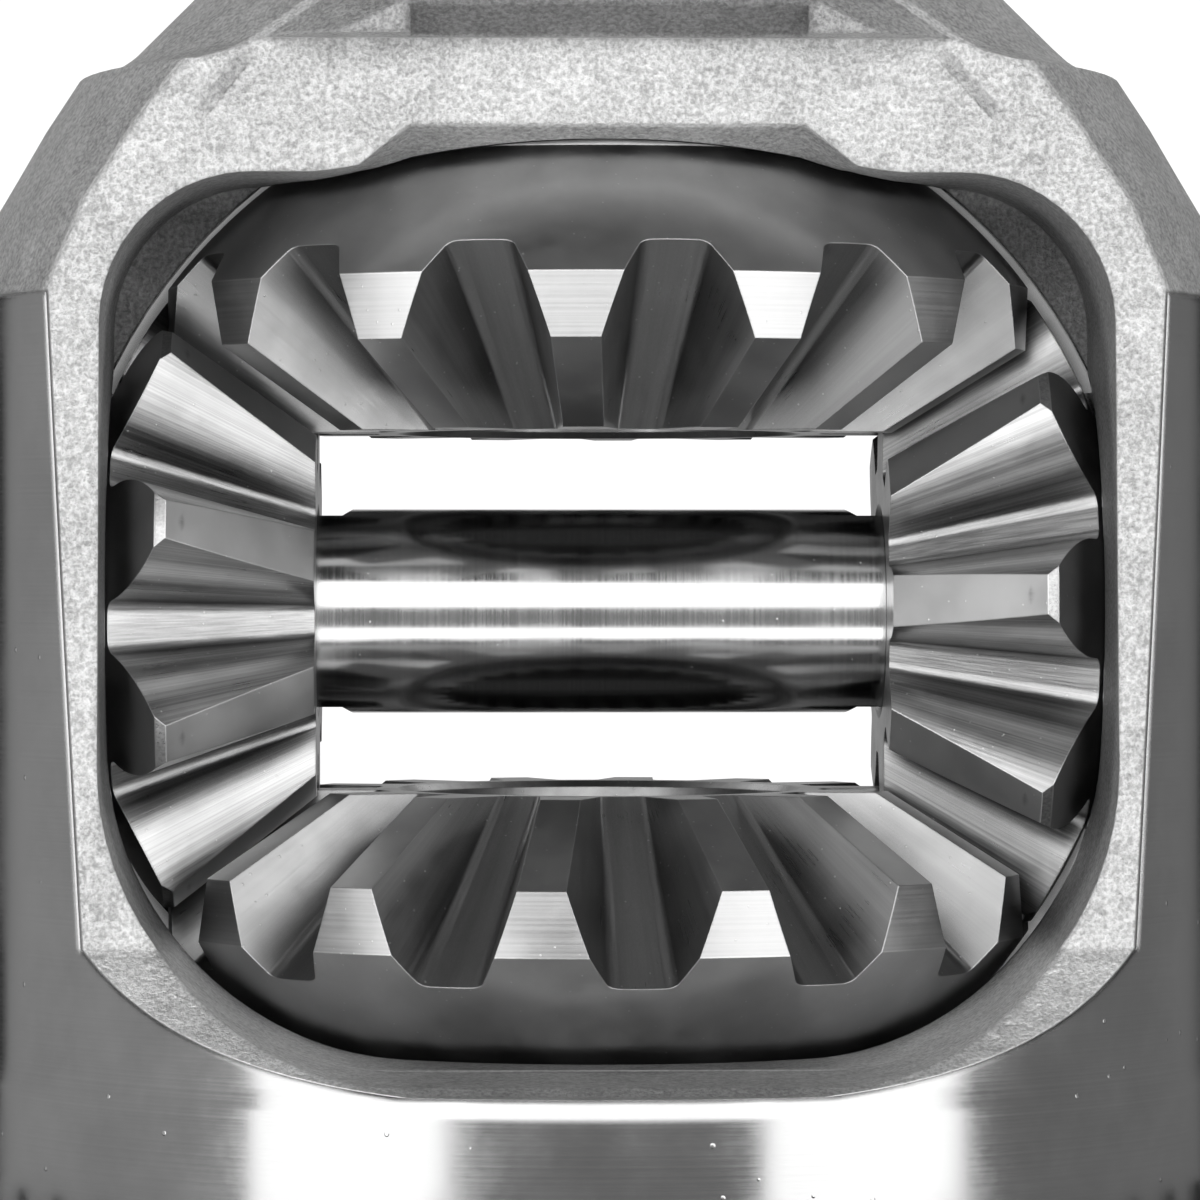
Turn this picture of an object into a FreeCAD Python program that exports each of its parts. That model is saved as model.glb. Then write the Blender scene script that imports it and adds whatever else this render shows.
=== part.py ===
"""Bevel gear differential: case, side gears, pinions, cross pin, ring gear and carrier bearings.

The axle axis is Z and the cross pin lies along X. The row's origin is at the centre of the lower
hub's end face. Every sub-part is drawn about the gear apex, where the axle and cross pin axes meet,
and is then lifted by apex_height.
"""
import FreeCAD, Part
import math
import os

import Sketcher
from FreeCAD import Placement, Rotation, Vector

# Driving dimensions in mm and degrees, with the words that name them in the sheet.
DIMENSIONS = {
    # case
    "apex_height": 124.0,
    "body_radius": 60.0,
    "body_top": 28.0,
    "pilot_top": -42.0,
    "pilot_relief": 0.5,
    "pilot_run_out": 2.0,
    "seat_level": -78.0,
    "flange_thickness": 12.0,
    "flange_radius": 86.0,
    "flange_low_chamfer": 1.5,
    "flange_top_chamfer": 1.0,
    "hub_radius": 31.0,
    "hub_step": 3.0,
    "hub_flare_width": 4.0,
    "hub_flare_height": 7.0,
    "hub_flare_radius": 34.0,
    "hub_end_chamfer": 1.2,
    "crown_low_radius": 56.2,
    "crown_low_level": 36.5,
    "crown_middle_radius": 54.2,
    "crown_middle_level": 39.9,
    "crown_high_radius": 51.6,
    "crown_high_level": 44.4,
    "neck_radius": 48.6,
    "neck_level": 49.0,
    "neck_curve": 9.0,
    "dome_radius": 42.7,
    "dome_level": 52.0,
    "dome_top_width": 2.0,
    "dome_top_level": 61.7,
    "dome_curve": 7.0,
    "hub_root_level": 66.0,
    "journal_radius": 22.6,
    "lower_shoulder": -101.5,
    "upper_shoulder": 68.0,
    "upper_hub_end": 90.5,
    "cavity_radius": 51.0,
    "thrust_bore_radius": 28.6,
    "thrust_level": 46.5,
    "gear_hub_bore_radius": 22.4,
    "gear_hub_bore_end": 66.0,
    "axle_bore_radius": 18.0,
    "window_half_width": 44.8,
    "window_top": 39.0,
    "window_floor": -39.8,
    "window_upper_corner": 13.4,
    "window_lower_corner": 26.5,
    "window_depth_end": 10.0,
    "pad_top": 50.8,
    "pad_bottom": -29.2,
    "pad_depth_top": 31.2,
    "pad_depth_bottom": 37.4,
    "scoop_radius": 50.1,
    "scoop_depth": 56.5,
    "scoop_level": -40.4,
    "brow_face_depth": 37.0,
    "brow_top": 62.0,
    "brow_bevel_depth": 33.0,
    "brow_bevel_slope": 0.65,
    "scallop_top_half": 17.4,
    "scallop_base_half": 22.0,
    "scallop_blend_width": 7.2,
    "scallop_blend_rise": 0.6,
    "scallop_blend_radius": 30.0,
    "scallop_height": 43.6,
    "scallop_slope": 0.42,
    "scallop_height_depth": 32.5,
    "scallop_inner_depth": 18.0,
    "lock_hole_start": 13.0,
    "pin_hole_radius": 9.54,
    "lock_hole_radius": 2.52,
    "lock_offset": 53.0,
    # side gears
    "side_teeth": 14,
    "side_toe_level": 16.6,
    "side_toe_tip": 27.8,
    "side_radius": 40.3,
    "side_tip_level": 24.1,
    "side_back_radius": 50.2,
    "side_root_level": 34.85,
    "side_toe_root": 20.7,
    "side_toe_gap": 1.9,
    "side_heel_gap": 3.0,
    "side_toe_flank": 0.345,
    "side_heel_flank": 0.42,
    "side_fillet": 1.5,
    "side_boss_radius": 28.0,
    "side_thrust_face": 45.4,
    "side_hub_radius": 22.2,
    "side_hub_end": 64.0,
    "side_mouth_radius": 18.4,
    "side_mouth_depth": 5.0,
    "side_mouth_chamfer": 0.6,
    "side_end_chamfer": 1.0,
    "spline_minor_radius": 14.3,
    "spline_major_radius": 15.5,
    "spline_half_base": 1.05,
    "spline_half_top": 0.6,
    "spline_count": 28,
    # pinions
    "pinion_teeth": 9,
    "pinion_toe_level": 26.3,
    "pinion_toe_tip": 18.1,
    "pinion_tip_level": 39.2,
    "pinion_tip_radius": 29.4,
    "pinion_back_radius": 49.7,
    "pinion_bore_radius": 9.585,
    "pinion_bore_chamfer": 0.8,
    "pinion_toe_chamfer": 0.5,
    "pinion_heel_chamfer": 0.2,
    "pinion_toe_root": 13.4,
    "pinion_root_slope": 0.444,
    "pinion_root_half": 0.045,
    "pinion_root_allowance": 0.25,
    "pinion_fillet_width": 0.8,
    "pinion_fillet_rise": 0.15,
    "pinion_flank_radius": 0.3607,
    "pinion_flank_reach": 0.763,
    "pinion_flank_spread": 0.3235,
    "pinion_fillet": 0.032,
    # cross pin and washers
    "pin_radius": 9.525,
    "pin_length": 119.0,
    "flat_depth": 0.6,
    "flat_start": 24.0,
    "flat_end": 50.0,
    "flat_run_out": 1.6,
    "lock_pin_radius": 2.5,
    "lock_pin_bore": 1.6,
    "lock_pin_slot": 0.8,
    "lock_pin_start": -12.5,
    "lock_pin_length": 39.0,
    "pin_end_chamfer": 0.8,
    "side_washer_clearance": 0.2,
    "pinion_washer_bore_clearance": 0.3,
    "pinion_washer_seat_gap": 0.02,
    "side_washer_thickness": 1.0,
    "pinion_washer_thickness": 0.95,
    "pinion_washer_radius": 20.5,
    # ring gear
    "ring_teeth": 41,
    "ring_bore_radius": 60.03,
    "ring_rim_radius": 108.3,
    "ring_back_radius": 90.0,
    "ring_rim_low": 5.5,
    "ring_rim_root": 9.0,
    "ring_toe_radius": 74.0,
    "ring_root_slope": 0.26,
    "ring_tooth_depth": 10.0,
    "ring_spiral": 35.0,
    "ring_bolt_count": 10,
    "ring_bolt_circle": 72.5,
    "bolt_radius": 5.0,
    "bolt_hole_radius": 5.25,
    "bolt_reach": 15.0,
    "bolt_head_height": 7.0,
    "bolt_head_corner": 8.6,
    "bolt_washer_height": 1.6,
    "bolt_washer_radius": 10.4,
    "bolt_point": 0.8,
    # carrier bearings
    "bearing_bore": 22.62,
    "bearing_outer": 36.715,
    "bearing_width": 19.56,
    "cone_width": 19.8,
    "cup_start": 3.8,
    "roller_count": 20,
    "roller_centre": 30.0,
    "roller_level": 10.0,
    "roller_angle": 9.5,
    "roller_radius": 3.87,
    "roller_length": 13.2,
    "race_gap": 0.06,
    "cone_rib_radius": 29.2,
    "cone_front_radius": 26.2,
    "cone_back_rib": 2.4,
    "cone_front_rib": 3.0,
    "bearing_edge": 0.5,
    "bearing_corner": 0.8,
    "cup_front_corner": 1.2,
    "cage_thickness": 1.1,
    "cage_low": 1.3,
    "cage_high": 18.6,
    "cage_lip_radius": 27.2,
    "shim_outer_radius": 28.6,
    "shim_thickness": 1.0,
}


class Size:
    """A length with its value and the expression that ties it to the sheet."""

    def __init__(self, value, expression):
        self.value = value
        self.expression = expression

    def __add__(self, other):
        return combine(self, "+", other)

    def __radd__(self, other):
        return combine(other, "+", self)

    def __sub__(self, other):
        return combine(self, "-", other)

    def __rsub__(self, other):
        return combine(other, "-", self)

    def __mul__(self, other):
        return combine(self, "*", other)

    def __rmul__(self, other):
        return combine(other, "*", self)

    def __truediv__(self, other):
        return combine(self, "/", other)

    def __neg__(self):
        return combine(0, "-", self)


def as_size(number):
    """Give a plain number the form of a Size."""
    return number if isinstance(number, Size) else Size(float(number), repr(float(number)))


def combine(first, sign, second):
    """Work out two sizes joined by one arithmetic sign."""
    left = as_size(first)
    right = as_size(second)
    values = {
        "+": lambda: left.value + right.value,
        "-": lambda: left.value - right.value,
        "*": lambda: left.value * right.value,
        "/": lambda: left.value / right.value,
    }
    return Size(values[sign](), f"({left.expression} {sign} {right.expression})")


doc = FreeCAD.newDocument("differential")
sheet = doc.addObject("Spreadsheet::Sheet", "Dimensions")
for row, (alias, number) in enumerate(DIMENSIONS.items(), start=1):
    sheet.set(f"A{row}", alias)
    sheet.set(f"B{row}", str(number))
    sheet.setAlias(f"B{row}", alias)
doc.recompute()


def dim(alias):
    """Read one driving dimension from the sheet."""
    return Size(float(sheet.get(alias)), f"Dimensions.{alias}")


def mm(alias):
    """Read one driving dimension as a plain number."""
    return float(sheet.get(alias))


AXIS_X = Vector(1, 0, 0)
AXIS_Y = Vector(0, 1, 0)
AXIS_Z = Vector(0, 0, 1)
APEX = Vector(0, 0, mm("apex_height"))
PARTS = []
CORE_RADIUS = 10.0  # inner edge of the casting's outline, inside the bores that are cut later
CLEARANCE = 5.0  # how far cutting outlines run past the metal


# ---------------------------------------------------------------- sketching


def new_body(label):
    """Start a sub-part that is drawn about the gear apex."""
    body = doc.addObject("PartDesign::Body", label)
    body.Label = label
    body.Placement = Placement(APEX, Rotation())
    body.setExpression(".Placement.Base.z", "Dimensions.apex_height")
    PARTS.append(body)
    return body


def origin_plane(body, role):
    """Find one of the body's own origin planes."""
    return next(item for item in body.Origin.OriginFeatures if item.Role == role)


def new_sketch(body, role, name, offset=None):
    """Attach a sketch to an origin plane, moved along the plane's normal by offset."""
    sketch = body.newObject("Sketcher::SketchObject", name)
    sketch.AttachmentSupport = (origin_plane(body, role), [""])
    sketch.MapMode = "FlatFace"
    if offset is not None:
        sketch.AttachmentOffset = Placement(Vector(0, 0, offset.value), Rotation())
        sketch.setExpression(".AttachmentOffset.Base.z", offset.expression)
    return sketch


def arc_between(start, end, radius, bulge):
    """Make the short arc from start to end. bulge is 1 if it turns left and -1 if it turns right."""
    chord = end - start
    middle = (start + end) * 0.5
    rise = math.sqrt(max(radius**2 - (chord.Length / 2) ** 2, 0.0))
    normal = Vector(-chord.y, chord.x, 0).normalize()
    centre = middle + normal * rise * bulge
    crown = centre + (middle - centre).normalize() * radius
    return Part.Arc(start, crown, end)


def outline(sketch, vertices):
    """Draw a closed outline. A vertex is (x, y), or (x, y, radius, bulge) if an arc leaves it."""
    points = [(as_size(vertex[0]), as_size(vertex[1])) for vertex in vertices]
    count = len(points)
    shapes = []
    for index, vertex in enumerate(vertices):
        start = Vector(points[index][0].value, points[index][1].value, 0)
        following = points[(index + 1) % count]
        end = Vector(following[0].value, following[1].value, 0)
        if len(vertex) == 4:
            arc = arc_between(start, end, as_size(vertex[2]).value, vertex[3])
            shapes.append((arc, vertex[3] > 0))
        else:
            shapes.append((Part.LineSegment(start, end), True))
    first = sketch.GeometryCount
    sketch.addGeometry([shape for shape, _ in shapes], False)
    forward = [flag for _, flag in shapes]
    for index, vertex in enumerate(vertices):
        after = (index + 1) % count
        tail = 2 if forward[index] else 1
        head = 1 if forward[after] else 2
        sketch.addConstraint(
            Sketcher.Constraint("Coincident", first + index, tail, first + after, head)
        )
        if len(vertex) == 4:
            radius = as_size(vertex[2])
            bound = sketch.addConstraint(Sketcher.Constraint("Radius", first + index, radius.value))
            sketch.setExpression(f"Constraints[{bound}]", radius.expression)
    for index, point in enumerate(points):
        place_vertex(sketch, first + index, 1 if forward[index] else 2, point)


def place_vertex(sketch, geometry, end, point):
    """Hold one end of a piece of an outline at a point given by two sizes."""
    for kind, size, axis in (("DistanceX", point[0], -2), ("DistanceY", point[1], -1)):
        if abs(size.value) < 1e-9:
            sketch.addConstraint(Sketcher.Constraint("PointOnObject", geometry, end, axis))
            continue
        bound = sketch.addConstraint(Sketcher.Constraint(kind, -1, 1, geometry, end, size.value))
        sketch.setExpression(f"Constraints[{bound}]", size.expression)


def circle(sketch, x, y, radius):
    """Draw a circle whose centre and radius are sizes."""
    x, y, radius = as_size(x), as_size(y), as_size(radius)
    index = sketch.addGeometry(Part.Circle(Vector(x.value, y.value, 0), AXIS_Z, radius.value), False)
    place_vertex(sketch, index, 3, (x, y))
    bound = sketch.addConstraint(Sketcher.Constraint("Radius", index, radius.value))
    sketch.setExpression(f"Constraints[{bound}]", radius.expression)


def turned(body, name, vertices, kind="PartDesign::Revolution"):
    """Revolve an outline, given as (radius, height), about the body's Z axis."""
    sketch = new_sketch(body, "XZ_Plane", f"{name}_profile")
    outline(sketch, vertices)
    feature = body.newObject(kind, name)
    feature.Profile = sketch
    feature.ReferenceAxis = (sketch, ["V_Axis"])
    feature.Angle = 360.0
    doc.recompute()
    return feature


def cut_through(body, name, sketch, length, midplane=False, backwards=False):
    """Pocket a sketch over a length."""
    feature = body.newObject("PartDesign::Pocket", name)
    feature.Profile = sketch
    feature.Type = "Length"
    feature.Length = length.value
    feature.setExpression("Length", length.expression)
    feature.Midplane = midplane
    feature.Reversed = backwards
    doc.recompute()
    return feature


def mirrored(body, name, originals, role):
    """Repeat features on the other side of an origin plane."""
    feature = body.newObject("PartDesign::Mirrored", name)
    feature.Originals = originals
    feature.MirrorPlane = (origin_plane(body, role), [""])
    body.Tip = feature
    doc.recompute()
    return feature


def patterned(body, name, original, count_alias):
    """Repeat a feature evenly about the body's Z axis."""
    feature = body.newObject("PartDesign::PolarPattern", name)
    feature.Originals = [original]
    feature.Axis = (next(item for item in body.Origin.OriginFeatures if item.Role == "Z_Axis"), [""])
    feature.Angle = 360.0
    feature.Occurrences = int(mm(count_alias))
    feature.setExpression("Occurrences", f"Dimensions.{count_alias}")
    body.Tip = feature
    doc.recompute()
    return feature


def lofted_cut(body, name, sketches):
    """Cut a straight-sided loft between two sketches."""
    feature = body.newObject("PartDesign::SubtractiveLoft", name)
    feature.Profile = sketches[0]
    feature.Sections = sketches[1:]
    feature.Ruled = True
    doc.recompute()
    return feature


def solid_part(label, shape, placement=None):
    """Keep a shape that is made with Part's own functions as a sub-part."""
    feature = doc.addObject("Part::Feature", label)
    feature.Label = label
    feature.Shape = shape
    feature.Placement = placement or Placement(APEX, Rotation())
    PARTS.append(feature)
    return feature


# ---------------------------------------------------------------- case


def differential_case():
    """One-piece casting: turned body, cored cavity, two windows with cast pads, and machined bores."""
    body = new_body("differential_case")
    casting_profile(body)
    cavity_profile(body)
    window_cut = window_opening(body)
    pad_cuts = cast_pad(body)
    scallop = window_scallop(body)
    mirrored(body, "back_window", [window_cut, *pad_cuts, scallop], "XZ_Plane")

    reach = dim("body_radius") + CLEARANCE
    pin_hole = new_sketch(body, "YZ_Plane", "pin_hole_outline")
    circle(pin_hole, 0, 0, dim("pin_hole_radius"))
    cut_through(body, "pin_hole", pin_hole, 2 * reach, midplane=True)

    lock_hole = new_sketch(body, "XZ_Plane", "lock_hole_outline", dim("lock_hole_start"))
    circle(lock_hole, dim("lock_offset"), 0, dim("lock_hole_radius"))
    cut_through(body, "lock_hole", lock_hole, reach + dim("lock_hole_start"))

    bolt_hole = new_sketch(body, "XY_Plane", "bolt_hole_outline", dim("seat_level") + 1)
    circle(bolt_hole, dim("ring_bolt_circle"), 0, dim("bolt_hole_radius"))
    hole = cut_through(body, "bolt_hole", bolt_hole, dim("flange_thickness") + 3)
    patterned(body, "bolt_holes", hole, "ring_bolt_count")


def casting_profile(body):
    """Outside of the casting, from the lower hub past the flange and the dome to the upper hub."""
    seat = dim("seat_level")
    flange_under = seat - dim("flange_thickness")
    flange = dim("flange_radius")
    hub = dim("hub_radius")
    radius = dim("body_radius")
    relieved = radius - dim("pilot_relief")
    journal = dim("journal_radius")
    chamfer = dim("hub_end_chamfer")
    lower_end = -dim("apex_height")
    upper_end = dim("upper_hub_end")
    turned(body, "casting", [
        (CORE_RADIUS, lower_end),
        (journal - chamfer, lower_end),
        (journal, lower_end + chamfer),
        (journal, dim("lower_shoulder")),
        (hub, dim("lower_shoulder")),
        (hub, dim("lower_shoulder") + dim("hub_step")),
        (hub + dim("hub_flare_width"), dim("lower_shoulder") + dim("hub_flare_height"),
         dim("hub_flare_radius"), 1),
        (radius - 1, flange_under),
        (flange - dim("flange_low_chamfer"), flange_under),
        (flange, flange_under + dim("flange_low_chamfer")),
        (flange, seat - dim("flange_top_chamfer")),
        (flange - dim("flange_top_chamfer"), seat),
        (radius, seat),
        (radius, dim("pilot_top")),
        (relieved, dim("pilot_top") + dim("pilot_run_out")),
        (relieved, dim("body_top")),
        (dim("crown_low_radius"), dim("crown_low_level")),
        (dim("crown_middle_radius"), dim("crown_middle_level")),
        (dim("crown_high_radius"), dim("crown_high_level")),
        (dim("neck_radius"), dim("neck_level"), dim("neck_curve"), -1),
        (dim("dome_radius"), dim("dome_level")),
        (hub + dim("dome_top_width"), dim("dome_top_level"), dim("dome_curve"), -1),
        (hub, dim("hub_root_level")),
        (hub, dim("upper_shoulder")),
        (journal, dim("upper_shoulder")),
        (journal, upper_end - chamfer),
        (journal - chamfer, upper_end),
        (CORE_RADIUS, upper_end),
    ])


def cavity_profile(body):
    """Inside of the casting: axle bores, gear hub bores, thrust faces and the inside sphere."""
    thrust = dim("thrust_level")
    bore = dim("thrust_bore_radius")
    hub_bore = dim("gear_hub_bore_radius")
    axle = dim("axle_bore_radius")
    cavity = dim("cavity_radius")
    pole = math.sqrt(cavity.value**2 - bore.value**2)
    below = -dim("apex_height") - 2
    above = dim("upper_hub_end") + 2
    turned(body, "cavity", [
        (0, below),
        (axle, below),
        (axle, -dim("gear_hub_bore_end")),
        (hub_bore, -dim("gear_hub_bore_end")),
        (hub_bore, -thrust),
        (bore, -thrust),
        (bore, -pole, cavity, 1),
        (bore, pole),
        (bore, thrust),
        (hub_bore, thrust),
        (hub_bore, dim("gear_hub_bore_end")),
        (axle, dim("gear_hub_bore_end")),
        (axle, above),
        (0, above),
    ], kind="PartDesign::Groove")


def window_opening(body):
    """Front window: tight upper corners and wide lower ones, cut in from the outside."""
    width = dim("window_half_width")
    top = dim("window_top")
    floor = dim("window_floor")
    upper = dim("window_upper_corner")
    lower = dim("window_lower_corner")
    start = dim("window_depth_end")
    window = new_sketch(body, "XZ_Plane", "window_outline", start)
    outline(window, [
        (width, floor + lower),
        (width, top - upper, upper, 1),
        (width - upper, top),
        (upper - width, top, upper, 1),
        (-width, top - upper),
        (-width, floor + lower, lower, 1),
        (lower - width, floor),
        (width - lower, floor, lower, 1),
    ])
    return cut_through(body, "window", window, dim("body_radius") + CLEARANCE - start, backwards=True)


def cast_pad(body):
    """Slanted pad round the window, scooped out below it, under a flat brow that is bevelled in the middle."""
    reach = dim("body_radius") + CLEARANCE
    pad = new_sketch(body, "YZ_Plane", "pad_outline")
    outline(pad, [
        (-reach, dim("scoop_level")),
        (-dim("scoop_depth"), dim("scoop_level"), dim("scoop_radius"), 1),
        (-dim("pad_depth_bottom"), dim("pad_bottom")),
        (-dim("pad_depth_top"), dim("pad_top")),
        (-reach, dim("pad_top")),
    ])
    pad_cut = cut_through(body, "pad", pad, 2 * reach, midplane=True)
    under = dim("pad_top") - 0.1
    front = dim("brow_face_depth")
    brow = new_sketch(body, "YZ_Plane", "brow_outline")
    outline(brow, [
        (-reach, under),
        (-front, under),
        (-front, dim("brow_top")),
        (-reach, dim("brow_top")),
    ])
    brow_cut = cut_through(body, "brow", brow, 2 * reach, midplane=True)
    start = dim("brow_bevel_depth")
    bevel = new_sketch(body, "YZ_Plane", "brow_bevel_outline")
    outline(bevel, [
        (-front - 1, under),
        (-start, under),
        (-front - 1, under + (front + 1 - start) * dim("brow_bevel_slope")),
    ])
    bevel_cut = cut_through(body, "brow_bevel", bevel, 2 * dim("scallop_top_half"), midplane=True)
    return [pad_cut, brow_cut, bevel_cut]


def window_scallop(body):
    """Recess in the middle of the window's top edge, which opens outwards."""
    base = dim("scallop_base_half")
    blend = base + dim("scallop_blend_width")
    crest = dim("scallop_top_half")
    top = dim("window_top")
    sections = []
    for name, depth in (
        ("scallop_inner", dim("scallop_inner_depth")),
        ("scallop_outer", dim("body_radius") + CLEARANCE),
    ):
        crown = dim("scallop_height") + (depth - dim("scallop_height_depth")) * dim("scallop_slope")
        section = new_sketch(body, "XZ_Plane", name, depth)
        outline(section, [
            (blend, top - CLEARANCE),
            (blend, top - 0.05, dim("scallop_blend_radius"), -1),
            (base, top + dim("scallop_blend_rise")),
            (crest, crown),
            (-crest, crown),
            (-base, top + dim("scallop_blend_rise"), dim("scallop_blend_radius"), -1),
            (-blend, top - 0.05),
            (-blend, top - CLEARANCE),
        ])
        sections.append(section)
    return lofted_cut(body, "scallop", sections)


# ---------------------------------------------------------------- gears


def filleted_gap(root, half, slope, outer, fillet):
    """Outline of a tooth space with straight flanks: (radius, width) about the gear's X axis."""
    turn = math.radians(90) - math.atan(slope.value)
    tangent = math.tan(turn / 2)
    along = tangent * math.cos(math.atan(slope.value))
    across = tangent * math.sin(math.atan(slope.value))
    far = half + (outer - root) * slope
    return [
        (root, fillet * tangent - half),
        (root, half - fillet * tangent, fillet, -1),
        (root + fillet * along, half + fillet * across),
        (outer, far),
        (outer, -far),
        (root + fillet * along, -half - fillet * across, fillet, -1),
    ]


def gear_gap(body, sections, count_alias):
    """Cut one tooth space between two outlines and repeat it round the gear."""
    sketches = []
    for name, level, vertices in sections:
        sketch = new_sketch(body, "XY_Plane", name, level)
        outline(sketch, vertices)
        sketches.append(sketch)
    gap = lofted_cut(body, "tooth_space", sketches)
    patterned(body, "tooth_spaces", gap, count_alias)


def side_gear(label, turn, flip):
    """Straight bevel side gear with a spherical back, a thrust face, a hub and a splined bore."""
    body = new_body(label)
    back = dim("side_back_radius")
    edge = dim("side_radius")
    heel = math.sqrt(back.value**2 - edge.value**2)
    boss = math.sqrt(back.value**2 - mm("side_boss_radius") ** 2)
    toe = dim("side_toe_level")
    mouth = dim("side_mouth_radius")
    edge_cut = dim("side_mouth_chamfer")
    end_cut = dim("side_end_chamfer")
    turned(body, "blank", [
        (dim("spline_minor_radius"), toe + dim("side_mouth_depth")),
        (mouth - edge_cut, toe + dim("side_mouth_depth")),
        (mouth, toe + edge_cut),
        (mouth + edge_cut, toe),
        (dim("side_toe_tip"), toe),
        (edge, dim("side_tip_level")),
        (edge, heel, back, 1),
        (dim("side_boss_radius"), boss),
        (dim("side_boss_radius"), dim("side_thrust_face")),
        (dim("side_hub_radius"), dim("side_thrust_face")),
        (dim("side_hub_radius"), dim("side_hub_end") - end_cut),
        (dim("side_hub_radius") - end_cut, dim("side_hub_end")),
        (dim("spline_minor_radius") + end_cut, dim("side_hub_end")),
        (dim("spline_minor_radius"), dim("side_hub_end") - end_cut),
    ])
    heel_level = dim("side_root_level")
    root_slope = (edge - dim("side_toe_root")) / (heel_level - toe)
    flank_change = (dim("side_heel_flank") - dim("side_toe_flank")) / (heel_level - toe)
    gap_change = (dim("side_heel_gap") - dim("side_toe_gap")) / (heel_level - toe)
    sections = []
    before_toe = -3.0
    past_heel = 23.0
    for name, step in (("toe_space", before_toe), ("heel_space", past_heel)):
        level = toe + step
        root = dim("side_toe_root") + root_slope * step
        half = dim("side_toe_gap") + gap_change * step
        slope = dim("side_toe_flank") + flank_change * step
        fillet = dim("side_fillet") * (level / heel_level)
        past_tips = level * 1.95
        sections.append((name, level, filleted_gap(root, half, slope, past_tips, fillet)))
    gear_gap(body, sections, "side_teeth")
    spline = new_sketch(body, "XY_Plane", "spline_outline", dim("side_hub_end") + 1)
    major = dim("spline_major_radius")
    outline(spline, [
        (dim("spline_minor_radius") - 1, -dim("spline_half_base")),
        (major, -dim("spline_half_top")),
        (major, dim("spline_half_top")),
        (dim("spline_minor_radius") - 1, dim("spline_half_base")),
    ])
    groove = cut_through(body, "spline_groove", spline, dim("side_hub_end"))
    patterned(body, "splines", groove, "spline_count")
    tilt = Rotation(AXIS_X, 180) if flip else Rotation()
    body.Placement = Placement(APEX, tilt.multiply(Rotation(AXIS_Z, turn)))


def pinion_gear(label, turn, tilt_angle):
    """Straight bevel pinion with a spherical back and a plain bore for the cross pin."""
    body = new_body(label)
    back = dim("pinion_back_radius")
    bore = dim("pinion_bore_radius")
    toe = dim("pinion_toe_level")
    tip = dim("pinion_tip_radius")
    bore_cut = dim("pinion_bore_chamfer")
    toe_cut = dim("pinion_toe_chamfer")
    heel_edge = tip - dim("pinion_heel_chamfer")
    heel = math.sqrt(back.value**2 - heel_edge.value**2)
    pole = math.sqrt(back.value**2 - (bore + bore_cut).value ** 2)
    turned(body, "blank", [
        (bore, toe + toe_cut),
        (bore + toe_cut, toe),
        (dim("pinion_toe_tip"), toe),
        (tip, dim("pinion_tip_level")),
        (heel_edge, heel, back, 1),
        (bore + bore_cut, pole),
        (bore, pole - bore_cut),
    ])
    root_slope = dim("pinion_root_slope")
    sections = []
    before_toe = -1.5
    past_heel = 24.5
    for name, step in (("toe_space", before_toe), ("heel_space", past_heel)):
        level = toe + step
        root = dim("pinion_toe_root") + root_slope * step
        lead = level * dim("pinion_flank_reach")
        spread = level * dim("pinion_flank_spread")
        fillet = level * dim("pinion_fillet")
        half = level * dim("pinion_root_half") + dim("pinion_root_allowance")
        across = fillet * dim("pinion_fillet_width")
        rise = fillet * dim("pinion_fillet_rise")
        outer = level * 0.95
        spread_out = spread + (outer - lead) * 1.2
        sections.append((name, level, [
            (root, across - half),
            (root, half - across, fillet, -1),
            (root + across, half + rise, level * dim("pinion_flank_radius"), 1),
            (lead, spread),
            (outer, spread_out),
            (outer, -spread_out),
            (lead, -spread, level * dim("pinion_flank_radius"), 1),
            (root + across, -half - rise, fillet, -1),
        ]))
    gear_gap(body, sections, "pinion_teeth")
    tilt = Rotation(AXIS_Y, tilt_angle)
    body.Placement = Placement(APEX, tilt.multiply(Rotation(AXIS_Z, turn)))


# ---------------------------------------------------------------- cross pin, lock pin, washers


def cross_pin():
    """Ground shaft along X: an oil flat above and below inside each pinion, and the lock pin's hole."""
    radius = mm("pin_radius")
    half = mm("pin_length") / 2
    shaft = Part.makeCylinder(radius, 2 * half, Vector(-half, 0, 0), AXIS_X)
    rims = [edge for edge in shaft.Edges if abs(abs(edge.CenterOfMass.x) - half) < 0.01]
    shaft = shaft.makeChamfer(mm("pin_end_chamfer"), rims)
    level = radius - mm("flat_depth")
    start = mm("flat_start")
    end = mm("flat_end")
    ramp = 2 * mm("flat_run_out")
    for side in (-1, 1):
        for face in (-1, 1):
            corners = [
                Vector(side * (start - ramp), -radius, face * (level + 2)),
                Vector(side * start, -radius, face * level),
                Vector(side * end, -radius, face * level),
                Vector(side * (end + ramp), -radius, face * (level + 2)),
            ]
            wedge = Part.Face(Part.makePolygon(corners + corners[:1])).extrude(AXIS_Y * 2 * radius)
            shaft = shaft.cut(wedge)
    hole = Part.makeCylinder(
        mm("lock_hole_radius"), 4 * radius, Vector(mm("lock_offset"), -2 * radius, 0), AXIS_Y
    )
    return shaft.cut(hole)


def lock_pin():
    """Rolled spring pin with a slot along its length, across the cross pin's end."""
    outer = mm("lock_pin_radius")
    length = mm("lock_pin_length")
    base = Vector(mm("lock_offset"), mm("lock_pin_start"), 0)
    tube = Part.makeCylinder(outer, length, base, AXIS_Y)
    tube = tube.cut(Part.makeCylinder(mm("lock_pin_bore"), length, base, AXIS_Y))
    slot = mm("lock_pin_slot")
    corner = base + Vector(0, 0, -slot / 2)
    return tube.cut(Part.makeBox(2 * outer, length, slot, corner))


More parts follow.
